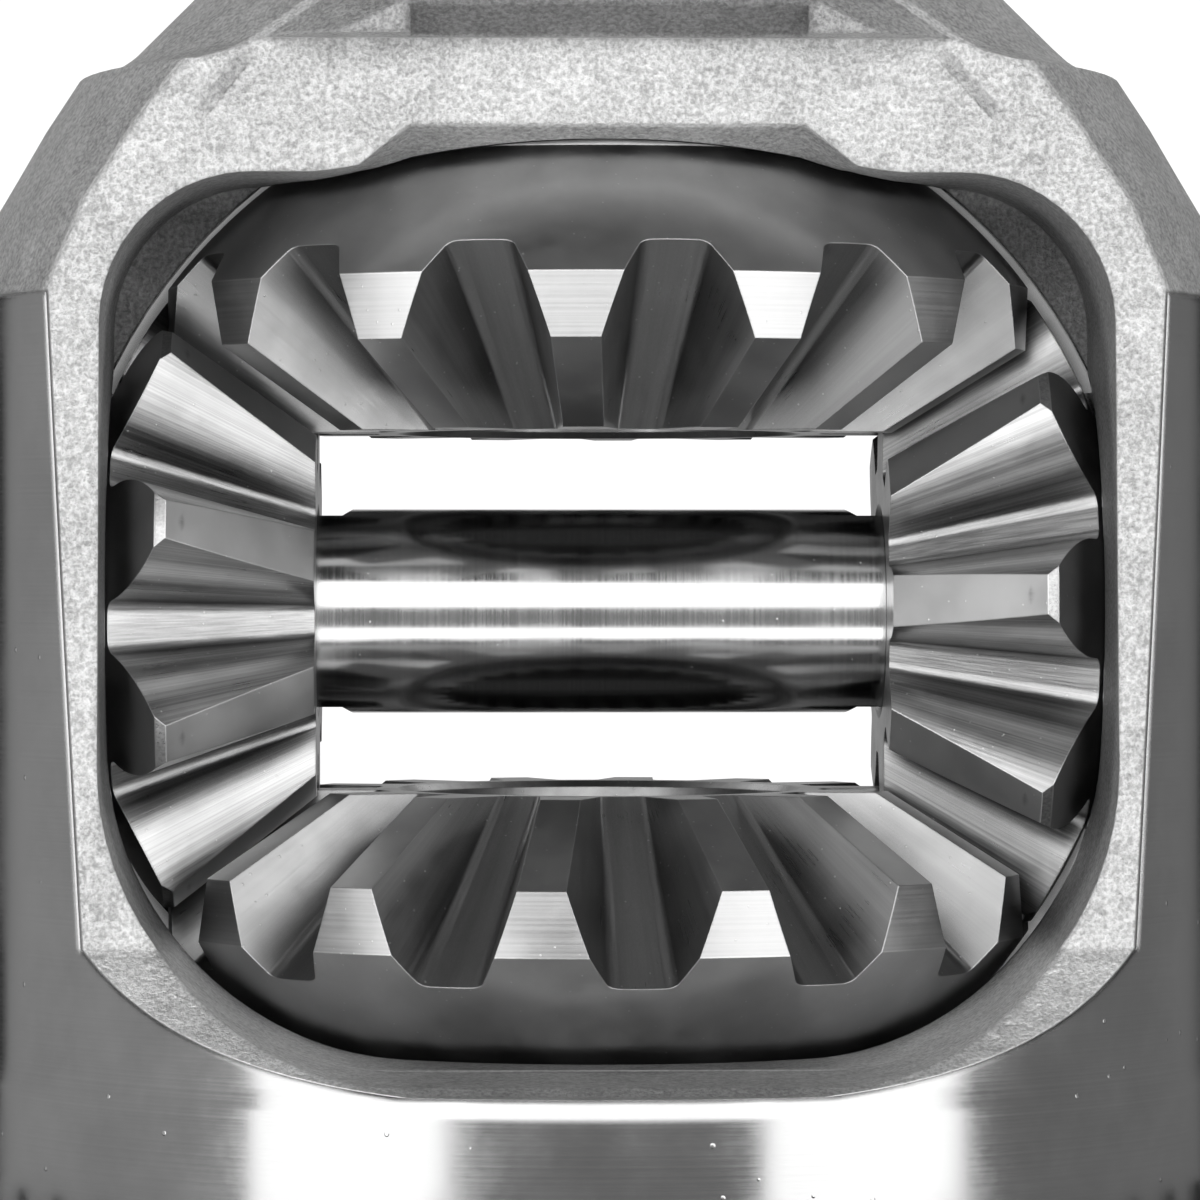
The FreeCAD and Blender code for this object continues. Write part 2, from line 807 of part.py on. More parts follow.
def side_washer(label, flip):
    """Flat thrust washer between a side gear and the case."""
    body = new_body(label)
    level = dim("thrust_level")
    inner = dim("gear_hub_bore_radius") + dim("side_washer_clearance")
    outer = dim("thrust_bore_radius") - dim("side_washer_clearance")
    turned(body, "ring", [
        (inner, level - dim("side_washer_thickness")),
        (outer, level - dim("side_washer_thickness")),
        (outer, level),
        (inner, level),
    ])
    body.Placement = Placement(APEX, Rotation(AXIS_X, 180) if flip else Rotation())


def pinion_washer(label, tilt_angle):
    """Spherical thrust washer between a pinion's back and the case."""
    body = new_body(label)
    outer = dim("cavity_radius") - dim("pinion_washer_seat_gap")
    inner = outer - dim("pinion_washer_thickness")
    bore = dim("pin_radius") + dim("pinion_washer_bore_clearance")
    edge = dim("pinion_washer_radius")
    heights = {}
    for name, radius in (("outer", outer), ("inner", inner)):
        for place, width in (("bore", bore), ("edge", edge)):
            heights[name, place] = math.sqrt(radius.value**2 - width.value**2)
    turned(body, "shell", [
        (bore, heights["inner", "bore"]),
        (edge, heights["inner", "edge"]),
        (edge, heights["outer", "edge"], outer, 1),
        (bore, heights["outer", "bore"]),
    ])
    body.Placement = Placement(APEX, Rotation(AXIS_Y, tilt_angle))


# ---------------------------------------------------------------- ring gear and its bolts


def ring_tooth():
    """One spiral bevel tooth, lofted through four sections from toe to heel."""
    sections = []
    toe = mm("ring_toe_radius")
    heel = mm("ring_rim_radius") - 0.6
    for step in range(4):
        radius = toe + (heel - toe) * step / 3
        scale = radius / heel
        pitch = 2 * math.pi * radius / mm("ring_teeth")
        angle = math.tan(math.radians(mm("ring_spiral"))) * math.log(radius / toe)
        root = mm("ring_rim_root") + (heel - radius) * mm("ring_root_slope")
        out = Vector(math.cos(angle), math.sin(angle), 0)
        across = Vector(-math.sin(angle), math.cos(angle), 0)
        spot = out * radius
        corners = [(-0.33, -0.8), (-0.11, 1.0), (0.11, 1.0), (0.33, -0.8)]
        points = []
        for width, height in corners:
            rise = mm("ring_tooth_depth") * scale * height if height > 0 else height
            points.append(spot + across * pitch * width + AXIS_Z * (root + rise))
        sections.append(Part.makePolygon(points + points[:1]))
    return Part.makeLoft(sections, True, False)


def ring_gear():
    """Crown wheel: a turned blank with a tapped bolt circle and spiral teeth."""
    rim = mm("ring_rim_radius")
    toe = mm("ring_toe_radius") - 1
    root = mm("ring_rim_root")
    toe_root = root + (rim - toe) * mm("ring_root_slope")
    bore = mm("ring_bore_radius")
    profile = [
        (bore + 1, 0), (mm("ring_back_radius"), 0), (rim, mm("ring_rim_low")), (rim, root),
        (toe, toe_root), (toe - 4, toe_root), (bore + 2, toe_root - 4), (bore, toe_root - 6), (bore, 1),
    ]
    points = [Vector(radius, 0, height) for radius, height in profile]
    blank = Part.Face(Part.makePolygon(points + points[:1])).revolve(Vector(), AXIS_Z, 360)
    tooth = ring_tooth()
    teeth = []
    for index in range(int(mm("ring_teeth"))):
        copy = tooth.copy()
        copy.rotate(Vector(), AXIS_Z, 360 * index / mm("ring_teeth"))
        teeth.append(copy)
    gear = blank.fuse(teeth)
    depth = mm("bolt_reach") - 2
    holes = round_bolt_circle(Part.makeCylinder(mm("bolt_radius") + 0.05, depth + 1, Vector(0, 0, -1)))
    return gear.cut(holes)


def round_bolt_circle(shape):
    """Repeat a shape, drawn on the Z axis, round the ring gear's bolt circle."""
    copies = []
    for index in range(int(mm("ring_bolt_count"))):
        copy = shape.copy()
        copy.translate(Vector(mm("ring_bolt_circle"), 0, 0))
        copy.rotate(Vector(), AXIS_Z, 360 * index / mm("ring_bolt_count"))
        copies.append(copy)
    return copies


def flange_bolt():
    """Flanged hex bolt that points up, with the underside of its head at the flange."""
    under = -mm("flange_thickness")
    head_height = mm("bolt_head_height")
    corner = mm("bolt_head_corner")
    low = under - head_height
    corners = []
    for index in range(6):
        angle = math.radians(60 * index)
        corners.append(Vector(corner * math.cos(angle), corner * math.sin(angle), low))
    head = Part.Face(Part.makePolygon(corners + corners[:1])).extrude(AXIS_Z * (head_height - 1))
    crown = Part.makeCone(corner - 1, corner + 6, head_height, Vector(0, 0, low))
    washer_height = mm("bolt_washer_height")
    washer_radius = mm("bolt_washer_radius")
    washer = Part.makeCone(
        washer_radius - 1.4, washer_radius, washer_height, Vector(0, 0, under - washer_height)
    )
    radius = mm("bolt_radius")
    point_height = mm("bolt_point")
    shank_top = mm("bolt_reach") - 3.5
    shank = Part.makeCylinder(radius, shank_top - under - point_height, Vector(0, 0, under))
    point = Part.makeCone(
        radius, radius - point_height, point_height, Vector(0, 0, shank_top - point_height)
    )
    return head.common(crown).fuse([washer, shank, point]).removeSplitter()


# ---------------------------------------------------------------- carrier bearings


def race_radius(level, offset):
    """Radius of a raceway at a level, offset from the rollers' axis outwards or inwards."""
    tilt = math.radians(mm("roller_angle"))
    apex = mm("roller_level") + mm("roller_centre") / math.tan(tilt)
    reach = mm("roller_centre") / math.sin(tilt)
    spread = math.asin((mm("roller_radius") + mm("race_gap")) / reach)
    return (apex - level) * math.tan(tilt + math.copysign(spread, offset))


def roller(extra_radius=0.0, extra_length=0.0):
    """One tapered roller, leaning towards the bearing's small end."""
    tilt = math.radians(mm("roller_angle"))
    reach = mm("roller_centre") / math.sin(tilt)
    half = mm("roller_length") / 2
    radius = mm("roller_radius")
    large = radius * (reach + half) / reach + extra_radius
    small = radius * (reach - half) / reach + extra_radius
    direction = Vector(-math.sin(tilt), 0, math.cos(tilt))
    centre = Vector(mm("roller_centre"), 0, mm("roller_level"))
    start = centre - direction * (half + extra_length)
    return Part.makeCone(large, small, 2 * (half + extra_length), start, direction)


def round_bearing(shape):
    """Repeat a roller round the bearing."""
    copies = []
    for index in range(int(mm("roller_count"))):
        copy = shape.copy()
        copy.rotate(Vector(), AXIS_Z, 360 * index / mm("roller_count"))
        copies.append(copy)
    return copies


def revolve_points(profile):
    """Revolve an outline of (radius, height) points about Z."""
    points = [Vector(radius, 0, height) for radius, height in profile]
    return Part.Face(Part.makePolygon(points + points[:1])).revolve(Vector(), AXIS_Z, 360)


def bearing_cone():
    """Inner ring with a large rib at its back face and a small rib at its front."""
    bore = mm("bearing_bore")
    width = mm("cone_width")
    edge = mm("bearing_edge")
    corner = mm("bearing_corner")
    rib = mm("cone_rib_radius")
    front = mm("cone_front_radius")
    back_rib = mm("cone_back_rib")
    front_rib = width - mm("cone_front_rib")
    return revolve_points([
        (bore + corner, 0), (rib - edge, 0), (rib, edge), (rib, back_rib),
        (race_radius(back_rib, -1), back_rib), (race_radius(front_rib, -1), front_rib),
        (front, front_rib), (front, width - edge), (front - edge, width), (bore + edge, width),
        (bore, width - edge), (bore, corner),
    ])


def bearing_cup():
    """Outer ring with a conical raceway."""
    outer = mm("bearing_outer")
    start = mm("cup_start")
    end = mm("bearing_width")
    edge = mm("bearing_edge")
    corner = mm("bearing_corner")
    front_corner = mm("cup_front_corner")
    return revolve_points([
        (race_radius(start, 1) + edge, start), (outer - corner, start), (outer, start + corner),
        (outer, end - front_corner), (outer - front_corner, end), (race_radius(end, 1) + edge, end),
        (race_radius(end - edge, 1), end - edge), (race_radius(start + edge, 1), start + edge),
    ])


def bearing_cage():
    """Pressed steel cage: a conical shell with a pocket for each roller and a turned-in small end."""
    slope = math.tan(math.radians(mm("roller_angle")))
    level = mm("roller_level")
    inner = mm("roller_centre") + mm("bearing_edge")
    thickness = mm("cage_thickness")
    low = mm("cage_low")
    high = mm("cage_high")
    lip = mm("cage_lip_radius")

    def at(height, offset):
        return inner + offset + (level - height) * slope

    shell = revolve_points([
        (at(low, 0), low), (at(low, thickness), low), (at(high, thickness), high),
        (lip, high), (lip, high - thickness), (at(high - thickness, 0), high - thickness),
    ])
    return shell.cut(round_bearing(roller(extra_radius=0.12, extra_length=0.3)))


def carrier_bearing(name, shoulder, flip):
    """Shim, cone, rollers, cage and cup of one bearing, seated on one of the case's shoulders."""
    turn = Rotation(AXIS_X, 180) if flip else Rotation()
    outwards = -1 if flip else 1
    seat = APEX + AXIS_Z * shoulder
    face = seat + AXIS_Z * outwards * mm("shim_thickness")
    shim_bore = mm("bearing_bore") + 0.1
    shim_edge = mm("shim_outer_radius")
    shim = revolve_points([
        (shim_bore, 0), (shim_edge, 0), (shim_edge, mm("shim_thickness")),
        (shim_bore, mm("shim_thickness")),
    ])
    solid_part(f"{name}_bearing_shim", shim, Placement(seat, turn))
    solid_part(f"{name}_bearing_cone", bearing_cone(), Placement(face, turn))
    solid_part(f"{name}_bearing_rollers", Part.Compound(round_bearing(roller())), Placement(face, turn))
    solid_part(f"{name}_bearing_cage", bearing_cage(), Placement(face, turn))
    solid_part(f"{name}_bearing_cup", bearing_cup(), Placement(face, turn))


# ---------------------------------------------------------------- assembly


def build():
    """Make every sub-part. Gear turns put the teeth in mesh, in parts of a tooth pitch."""
    side_pitch = 360 / mm("side_teeth")
    pinion_pitch = 360 / mm("pinion_teeth")
    differential_case()
    side_gear("upper_side_gear", -side_pitch / 6, flip=False)
    side_gear("lower_side_gear", side_pitch / 3, flip=True)
    pinion_gear("left_pinion_gear", -pinion_pitch / 3, tilt_angle=-90)
    pinion_gear("right_pinion_gear", pinion_pitch / 6, tilt_angle=90)
    solid_part("cross_pin", cross_pin())
    solid_part("cross_pin_lock_pin", lock_pin())
    side_washer("upper_side_gear_thrust_washer", flip=False)
    side_washer("lower_side_gear_thrust_washer", flip=True)
    pinion_washer("left_pinion_thrust_washer", tilt_angle=-90)
    pinion_washer("right_pinion_thrust_washer", tilt_angle=90)
    seat = Placement(APEX + AXIS_Z * mm("seat_level"), Rotation())
    solid_part("ring_gear", ring_gear(), seat)
    solid_part("ring_gear_bolts", Part.Compound(round_bolt_circle(flange_bolt())), seat)
    carrier_bearing("upper", mm("upper_shoulder"), flip=False)
    carrier_bearing("lower", mm("lower_shoulder"), flip=True)


def check_and_write():
    """Stop on any failed object or shape, then write one file for each sub-part."""
    doc.recompute()
    for item in doc.Objects:
        if "Invalid" in item.State or "Error" in item.State:
            raise RuntimeError(f"{item.Label} failed: {item.State}")
    for part in PARTS:
        if part.Shape.isNull() or not part.Shape.isValid():
            raise RuntimeError(f"{part.Label} has no valid shape")
    os.makedirs("parts", exist_ok=True)
    for part in PARTS:
        part.Shape.exportStep(f"parts/{part.Label}.step")
        print(f"{part.Label}: {len(part.Shape.Solids)} solid(s), {part.Shape.Volume:.0f} mm3")


build()
check_and_write()
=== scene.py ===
"""Looks of a differential gear assembly: a cast case with turned faces and pads round its windows, bevel
gears on a cross pin, a bolted ring gear and two carrier bearings, in a plain studio.

Lengths in materials are millimetres from the point where the two gear axes cross.
"""

import math

import bpy
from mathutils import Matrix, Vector


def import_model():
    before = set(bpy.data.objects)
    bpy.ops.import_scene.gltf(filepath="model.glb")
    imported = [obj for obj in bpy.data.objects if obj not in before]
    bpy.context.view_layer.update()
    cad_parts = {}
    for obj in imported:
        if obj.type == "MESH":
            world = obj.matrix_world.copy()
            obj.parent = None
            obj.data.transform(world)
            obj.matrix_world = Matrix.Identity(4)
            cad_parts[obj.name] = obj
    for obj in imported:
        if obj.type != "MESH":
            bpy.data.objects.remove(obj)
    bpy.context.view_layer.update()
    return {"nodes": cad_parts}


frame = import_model()

APEX = Vector((0, 0, 0.124))  # where the gear axes cross, in metres
BODY_RADIUS = 60.0  # turned cylinder of the case
BODY_TOP = 29.0  # upper end of the turned cylinder
CAVITY_RADIUS = 51.0  # sphere that the gears run in
FLANGE_TOP = -77.5  # everything below is turned
HUB_MIDDLE = -18.0  # level halfway between the two hub ends
HUB_REACH = 80.0  # from that level to each hub's turned end
HUB_RADIUS = 33.0
SEAT_RADIUS = 29.0  # bearing seats and bores lie inside it
PAD_TOP = (50.8, 31.2)  # level and depth of the pad's upper edge
PAD_SLOPE = 6.2 / 80.0  # depth gained for each millimetre down the pad
# The bevelled recess above the pad is painted darker as shade.
BROW_HALF_WIDTH = 17.2  # bevelled recess above the pad
# The scoop under the window is painted lighter, as lit by the lamps.
SILL_LEVEL = -28.0  # the scoop under the window starts here
# Groove lines on the pad, cut into the relief and painted darker as shade.
SHADED_CREASES = (((-36.6, 43.3), (-31.2, 50.2)), ((29.0, 50.2), (35.2, 43.3)))  # ends as (x, z)

SIDE_BAND_RADIUS = 40.3
PINION_BAND_RADIUS = 60.0  # beyond the pinion: its heels have no turned band
SIDE_BACK_REACH = 50.2
PINION_BACK_REACH = 49.7

KEY = 2.7  # radiance of the panels that frame the camera


class Surface:
    """A metal whose colour, roughness and relief come from nodes."""

    def __init__(self, name, metallic=1.0):
        self.material = bpy.data.materials.new(name)
        self.material.use_nodes = True
        self.tree = self.material.node_tree
        self.shader = self.tree.nodes["Principled BSDF"]
        self.shader.inputs["Metallic"].default_value = metallic
        rest = self.node("ShaderNodeTexCoord").outputs["Object"]
        shifted = self.vector("SUBTRACT", rest, tuple(APEX))
        self.place = self.vector("SCALE", shifted, scale=1000.0)
        parts = self.node("ShaderNodeSeparateXYZ", {"Vector": self.place})
        self.x, self.y, self.z = (parts.outputs[axis] for axis in "XYZ")
        self.reach = self.vector("LENGTH", self.place, output="Value")
        self.ray = self.vector("NORMALIZE", self.place)
        self.height = None

    def node(self, kind, inputs=None, **settings):
        made = self.tree.nodes.new(kind)
        for key, value in settings.items():
            setattr(made, key, value)
        for key, value in (inputs or {}).items():
            self.feed(made.inputs[key], value)
        return made

    def feed(self, socket, value):
        if isinstance(value, bpy.types.NodeSocket):
            self.tree.links.new(value, socket)
        else:
            socket.default_value = value

    def math(self, operation, *values):
        made = self.node("ShaderNodeMath", operation=operation)
        for socket, value in zip(made.inputs, values):
            self.feed(socket, value)
        return made.outputs[0]

    def vector(self, operation, first, second=(0, 0, 0), scale=1.0, output="Vector"):
        made = self.node("ShaderNodeVectorMath", operation=operation)
        self.feed(made.inputs[0], first)
        self.feed(made.inputs[1], second)
        made.inputs[3].default_value = scale
        return made.outputs[output]

    def chain(self, operation, values):
        result = values[0]
        for value in values[1:]:
            result = self.math(operation, result, value)
        return result

    def total(self, *values):
        return self.chain("ADD", values)

    def product(self, *values):
        return self.chain("MULTIPLY", values)

    def most(self, *values):
        return self.chain("MAXIMUM", values)

    def size(self, value):
        return self.math("ABSOLUTE", value)

    def join(self, x, y=0.0, z=0.0):
        return self.node("ShaderNodeCombineXYZ", {"X": x, "Y": y, "Z": z}).outputs[0]

    def about(self, axis):
        """Distance from the Z or the X axis through the apex."""
        first, second = (self.x, self.y) if axis == "Z" else (self.y, self.z)
        return self.vector("LENGTH", self.join(first, second), output="Value")

    def noise(self, vector, scale, detail=3.0, rough=0.5):
        inputs = {"Vector": vector, "Scale": scale, "Detail": detail, "Roughness": rough}
        return self.node("ShaderNodeTexNoise", inputs).outputs["Fac"]

    def spots(self, scale, size):
        """1 in scattered round spots, 0 elsewhere."""
        cells = self.node("ShaderNodeTexVoronoi", {"Vector": self.place, "Scale": scale, "Randomness": 1.0})
        return self.step(cells.outputs["Distance"], size, size * 0.6)

    def step(self, value, low, high, to_low=0.0, to_high=1.0):
        """Smooth rise from to_low at low to to_high at high."""
        inputs = {"Value": value, "From Min": low, "From Max": high, "To Min": to_low, "To Max": to_high}
        return self.node("ShaderNodeMapRange", inputs, interpolation_type="SMOOTHSTEP").outputs[0]

    def vary(self, noise, low, high):
        """Noise spread between two values."""
        return self.step(noise, 0.3, 0.7, low, high)

    def near(self, value, target, reach):
        """1 where value is within reach of target."""
        gap = self.size(self.math("SUBTRACT", value, target))
        return self.step(gap, reach, reach * 0.6)

    def blend(self, mask, off, on):
        """off where mask is 0, on where it is 1."""
        made = self.node("ShaderNodeMix", data_type="FLOAT")
        for index, value in ((0, mask), (2, off), (3, on)):
            self.feed(made.inputs[index], value)
        return made.outputs[0]

    def painted_hollow_shade(self, distance, closed, opened):
        """Painted shade: from opened on open faces to closed deep in hollows of a width in millimetres."""
        inputs = {"Distance": distance / 1000}
        occlusion = self.node("ShaderNodeAmbientOcclusion", inputs, samples=4, only_local=True)
        return self.step(occlusion.outputs["AO"], 0.25, 0.9, closed, opened)

    def segment(self, first, second, half_width):
        """1 on a straight line between two (x, z) points, fading to its sides."""
        run = Vector(second) - Vector(first)
        length = run.length
        across_x, across_z = -run.y / length, run.x / length
        along_x, along_z = run.x / length, run.y / length
        dx = self.math("SUBTRACT", self.x, first[0])
        dz = self.math("SUBTRACT", self.z, first[1])
        along = self.math("MULTIPLY_ADD", dx, along_x, self.product(dz, along_z))
        across = self.math("MULTIPLY_ADD", dx, across_x, self.product(dz, across_z))
        return self.product(self.near(along, length / 2, length / 2), self.near(across, 0.0, half_width))

    def grey(self, value):
        colour = self.node("ShaderNodeCombineColor", {"Red": value, "Green": value, "Blue": value})
        self.feed(self.shader.inputs["Base Color"], colour.outputs[0])

    def roughness(self, value):
        self.feed(self.shader.inputs["Roughness"], value)

    def relief(self, value, depth):
        """Add relief of a depth in millimetres."""
        scaled = self.product(value, depth)
        self.height = scaled if self.height is None else self.total(self.height, scaled)

    def finish(self, edge=0.15):
        """Join the relief to the shader, with edges rounded to a radius in millimetres."""
        rounded = self.node("ShaderNodeBevel", {"Radius": edge / 1000}, samples=4).outputs[0]
        inputs = {"Strength": 1.0, "Distance": 0.001, "Height": self.height, "Normal": rounded}
        self.feed(self.shader.inputs["Normal"], self.node("ShaderNodeBump", inputs).outputs[0])
        return self.material


def case_metal():
    """Sand-cast skin, with painted light on the pads and the scoop under the window and painted shade in the
    recess above the pad, inside the window and along groove lines, and turned metal where the case was machined,
    painted darker where it lines the sphere the gears run in.
    """
    surface = Surface("case_iron")
    radius = surface.about("Z")
    side = surface.size(surface.x)
    depth = surface.size(surface.y)

    cylinder = surface.product(
        surface.near(radius, BODY_RADIUS - 0.25, 0.6), surface.step(surface.z, BODY_TOP, BODY_TOP - 1.0)
    )
    from_middle = surface.size(surface.math("SUBTRACT", surface.z, HUB_MIDDLE))
    hub_ends = surface.product(
        surface.step(radius, HUB_RADIUS, HUB_RADIUS - 1.5), surface.step(from_middle, HUB_REACH - 1.0, HUB_REACH)
    )
    shaded_cavity = surface.near(surface.reach, CAVITY_RADIUS, 0.2)
    flange = surface.step(surface.z, FLANGE_TOP, FLANGE_TOP - 0.8)
    seats = surface.step(radius, SEAT_RADIUS, SEAT_RADIUS - 0.3)
    turned = surface.most(cylinder, shaded_cavity, flange, hub_ends, seats)
    cast = surface.math("SUBTRACT", 1.0, turned)

    below_top = surface.math("SUBTRACT", PAD_TOP[0], surface.z)
    pad_depth = surface.math("MULTIPLY_ADD", below_top, PAD_SLOPE, PAD_TOP[1])
    pad = surface.near(surface.math("SUBTRACT", depth, pad_depth), 0.0, 0.9)
    shaded_crease = surface.product(surface.most(*(surface.segment(*ends, 0.8) for ends in SHADED_CREASES)), pad)
    scoop = surface.product(surface.step(surface.z, SILL_LEVEL, SILL_LEVEL - 3.0), surface.step(side, 12.0, 30.0))
    # Painted shade: masks of the bevelled recess above the pad and of the faces inside the window.
    shaded_brow = surface.product(
        surface.step(surface.z, 50.6, 51.2), surface.step(side, BROW_HALF_WIDTH + 1.4, BROW_HALF_WIDTH)
    )
    shaded_walls = surface.product(surface.step(surface.reach, 58.0, 55.0), surface.step(surface.z, 39.0, 36.0))

    grain = surface.noise(surface.place, 2.3, 5, 0.65)
    coarse = surface.noise(surface.place, 0.35, 3, 0.5)
    blotches = surface.noise(surface.place, 0.09, 3, 0.5)
    pits = surface.spots(0.9, 0.16)
    marks = surface.noise(surface.join(radius, 0.0, surface.z), 4.0, 4, 0.7)
    stains = surface.noise(surface.place, 0.06, 5, 0.6)
    nicks = surface.spots(0.28, 0.07)

    sand = surface.total(
        surface.step(grain, 0.32, 0.68, 0.45, 0.8),
        surface.vary(coarse, -0.05, 0.05),
        surface.step(blotches, 0.35, 0.65, -0.03, 0.03),
    )
    # Painted shade: cast skin in the recess above the pad and inside the window is darker.
    skin = surface.blend(surface.most(shaded_walls, shaded_brow), 0.66, 0.36)
    # Painted light: the pad and the scoop under the window face the lamps and are painted lighter than the rest
    # of the cast skin.
    lit_skin = surface.blend(scoop, 1.0, 1.25)
    painted_light_share = surface.blend(surface.most(pad, scoop), skin, lit_skin)
    # Painted shade: the groove lines on the pad are darker.
    cast_tone = surface.product(sand, painted_light_share, surface.blend(shaded_crease, 1.0, 0.72))
    machined = surface.total(
        surface.vary(stains, 0.38, 0.46), surface.vary(marks, -0.015, 0.015), surface.product(nicks, 0.25)
    )
    # Painted shade: the turned sphere the gears run in, deep inside the case, is darker.
    turned_tone = surface.product(machined, surface.blend(shaded_cavity, 1.0, 0.35))
    surface.grey(surface.blend(turned, cast_tone, turned_tone))
    surface.feed(surface.shader.inputs["Metallic"], surface.blend(turned, 0.9, 1.0))

    cast_rough = surface.vary(grain, 0.6, 0.48)
    turned_rough = surface.total(
        surface.step(stains, 0.35, 0.7, 0.14, 0.24), surface.vary(marks, -0.02, 0.03)
    )
    surface.roughness(surface.blend(turned, cast_rough, turned_rough))

    surface.relief(surface.product(grain, cast), 0.3)
    surface.relief(surface.product(coarse, cast), 0.5)
    surface.relief(surface.product(pits, cast), 0.06)
    surface.relief(shaded_crease, -0.12)
    surface.relief(surface.product(marks, turned), 0.002)
    surface.relief(surface.product(nicks, turned), 0.03)
    return surface.finish(edge=0.8)


def crest_line(inner, outer):
    """Slope and offset of the tooth crests through two (radius, level) points."""
    slope = (outer[1] - inner[1]) / (outer[0] - inner[0])
    return slope, inner[1] - slope * inner[0]


def gear_metal(name, axis, band_radius, back_reach, crest_ends, flank_level, crest_painted_light_level, mark):
    """Cut steel: turned lines on the blank's band and lengthwise cutter marks, mark millimetres deep, with
    painted shade in the hollows of the flanks and crest tones painted per gear as light and shade.
    """
    surface = Surface(name)
    radius = surface.about(axis)
    along = surface.size(surface.z if axis == "Z" else surface.x)
    slope, offset = crest_line(*crest_ends)
    above_crest = surface.math("SUBTRACT", along, surface.math("MULTIPLY_ADD", radius, slope, offset))
    band = surface.step(radius, band_radius - 0.12, band_radius - 0.04)
    crest = surface.near(above_crest, 0.0, 0.08)
    back = surface.near(surface.reach, back_reach, 0.1)
    flank = surface.math("SUBTRACT", 1.0, surface.most(band, back, crest))

    lines = surface.noise(surface.join(radius, 0.0, along), 5.0, 3, 0.7)
    cutter = surface.noise(surface.ray, 210.0, 4, 0.6)
    swirl = surface.noise(surface.ray, 22.0, 3, 0.5)
    cloud = surface.noise(surface.place, 0.16, 4, 0.55)
    specks = surface.spots(0.75, 0.09)

    contrast = 6 * mark
    streaks = surface.total(
        surface.vary(cutter, flank_level - contrast, flank_level + contrast), surface.vary(swirl, -0.03, 0.03)
    )
    # Painted shade: the tooth flanks darken into the hollows between the teeth.
    flank_tone = surface.product(streaks, surface.painted_hollow_shade(9.0, 0.1, 1.0))
    band_tone = surface.total(surface.vary(lines, 0.4, 0.47), surface.vary(cloud, -0.03, 0.03))
    tone = surface.blend(band, flank_tone, band_tone)
    # Painted light and shade: the crest lands get a tone per gear, lighter on the pinions and darker on the side
    # gears, whose crests face in towards the axis.
    tone = surface.blend(crest, tone, surface.vary(cloud, crest_painted_light_level - 0.03, crest_painted_light_level + 0.03))
    tone = surface.blend(back, tone, surface.vary(cloud, 0.5, 0.58))
    surface.grey(surface.total(tone, surface.product(specks, 0.15)))

    flank_rough = surface.total(surface.vary(cutter, 0.3, 0.36), surface.vary(cloud, -0.04, 0.05))
    band_rough = surface.total(surface.vary(lines, 0.33, 0.4), surface.vary(cloud, -0.04, 0.04))
    rough = surface.blend(band, flank_rough, band_rough)
    rough = surface.blend(crest, rough, surface.vary(cloud, 0.32, 0.38))
    surface.roughness(surface.blend(back, rough, surface.vary(cloud, 0.3, 0.38)))

    surface.relief(surface.product(lines, band), 0.01)
    surface.relief(surface.product(cutter, flank), mark)
    surface.relief(specks, 0.015)
    return surface.finish()


def ground_metal(name, axis, tone, rough):
    """Ground steel with fine marks round an axis."""
    surface = Surface(name)
    along = surface.x if axis == "X" else surface.z
    marks = surface.noise(surface.join(surface.about(axis), 0.0, along), 7.0, 4, 0.7)
    cloud = surface.noise(surface.place, 0.12, 4, 0.55)
    specks = surface.spots(0.8, 0.07)
    surface.grey(surface.total(
        surface.vary(marks, tone - 0.03, tone + 0.03),
        surface.vary(cloud, -0.02, 0.02),
        surface.product(specks, 0.1),
    ))
    surface.roughness(surface.total(
        surface.vary(marks, rough * 0.8, rough * 1.2), surface.vary(cloud, -0.03, 0.04)
    ))
    surface.relief(marks, 0.001)
    surface.relief(specks, 0.01)
    return surface.finish()


def blackened_metal(name, tone, rough):
    """Heat-treated steel with a dark oxide skin."""
    surface = Surface(name)
    fine = surface.noise(surface.place, 2.2, 4, 0.6)
    cloud = surface.noise(surface.place, 0.1, 4, 0.55)
    specks = surface.spots(0.7, 0.08)
    surface.grey(surface.total(
        surface.vary(fine, tone * 0.8, tone * 1.2),
        surface.vary(cloud, -tone * 0.15, tone * 0.15),
        surface.product(specks, 0.15),
    ))
    surface.roughness(surface.total(
        surface.vary(fine, rough * 0.85, rough * 1.15), surface.vary(cloud, -0.04, 0.04)
    ))
    surface.relief(fine, 0.02)
    surface.relief(specks, 0.01)
    return surface.finish()


case_iron = case_metal()
side_steel = gear_metal(
    "side_gear_steel", "Z", SIDE_BAND_RADIUS, SIDE_BACK_REACH, ((27.8, 16.6), (40.3, 24.1)),
    flank_level=0.33, crest_painted_light_level=0.36, mark=0.002,
)
pinion_steel = gear_metal(
    "pinion_gear_steel", "X", PINION_BAND_RADIUS, PINION_BACK_REACH, ((18.1, 26.3), (29.4, 39.2)),
    flank_level=0.4, crest_painted_light_level=0.64, mark=0.014,
)
pin_steel = ground_metal("cross_pin_steel", "X", 0.53, 0.165)
race_steel = ground_metal("race_steel", "Z", 0.58, 0.2)
roller_steel = ground_metal("roller_steel", "Z", 0.62, 0.12)
washer_steel = ground_metal("washer_steel", "Z", 0.26, 0.32)
cage_steel = blackened_metal("cage_steel", 0.42, 0.35)
ring_steel = blackened_metal("ring_gear_steel", 0.2, 0.36)
bolt_steel = blackened_metal("bolt_steel", 0.08, 0.42)
spring_steel = blackened_metal("spring_steel", 0.25, 0.35)

